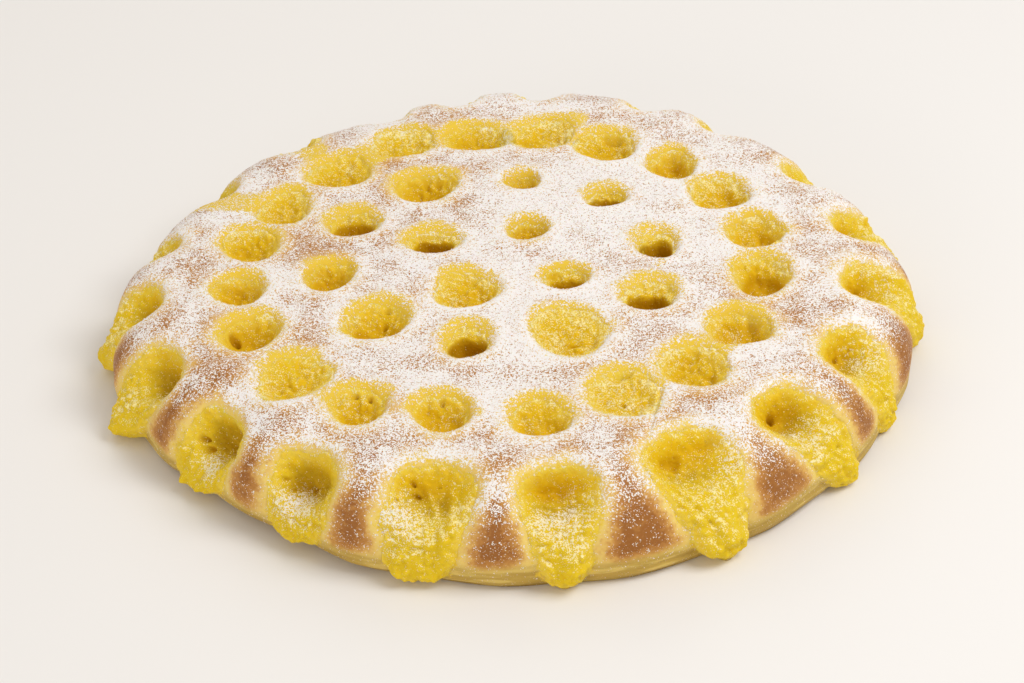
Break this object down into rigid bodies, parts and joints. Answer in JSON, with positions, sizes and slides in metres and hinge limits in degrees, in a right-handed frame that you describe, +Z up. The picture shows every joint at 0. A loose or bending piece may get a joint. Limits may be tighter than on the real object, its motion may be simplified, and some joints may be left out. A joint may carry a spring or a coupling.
{
  "type": "custard tart",
  "caption": "Large round sweet yeast cake with finger dimples lined with baked custard, custard tongues running over its rim and a dusting of icing sugar.",
  "frame": {"origin": "on the surface it stands on, under the middle of its bounding box", "axes": "+Z up, -Y towards the front of the picture, +X to its right"},
  "size_m": [0.3418, 0.3336, 0.0448],
  "materials": {
    "crust": "baked golden brown dough, pale at the foot and round each dimple, dusted white",
    "custard": "baked egg custard, lumpy and softly shiny",
    "sugar": "fine white icing sugar, matt"
  },
  "bodies": {
    "root": {"dough": "crust", "custard_a1": "custard", "custard_a2": "custard", "custard_a3": "custard", "custard_a4": "custard", "custard_b1": "custard", "custard_b2": "custard", "custard_b3": "custard", "custard_b4": "custard", "custard_b5": "custard", "custard_b6": "custard", "custard_b7": "custard", "custard_b8": "custard", "custard_b9": "custard", "custard_b10": "custard", "custard_c1": "custard", "custard_c2": "custard", "custard_c3": "custard", "custard_c4": "custard", "custard_c5": "custard", "custard_c6": "custard", "custard_c7": "custard", "custard_c8": "custard", "custard_c9": "custard", "custard_c10": "custard", "custard_c11": "custard", "custard_c12": "custard", "custard_c13": "custard", "custard_c14": "custard", "custard_c15": "custard", "custard_c16": "custard", "custard_c17": "custard", "custard_c18": "custard", "custard_c19": "custard", "custard_c20": "custard", "custard_d1": "custard", "custard_d2": "custard", "custard_d3": "custard", "custard_d4": "custard", "custard_d5": "custard", "custard_d6": "custard", "custard_d7": "custard", "custard_d8": "custard", "custard_d9": "custard", "custard_d10": "custard", "custard_d11": "custard", "custard_d12": "custard", "custard_d13": "custard", "custard_d14": "custard", "custard_d15": "custard", "custard_d16": "custard", "custard_d17": "custard", "custard_d18": "custard", "custard_d19": "custard", "custard_d20": "custard"}
  },
  "joints": []
}
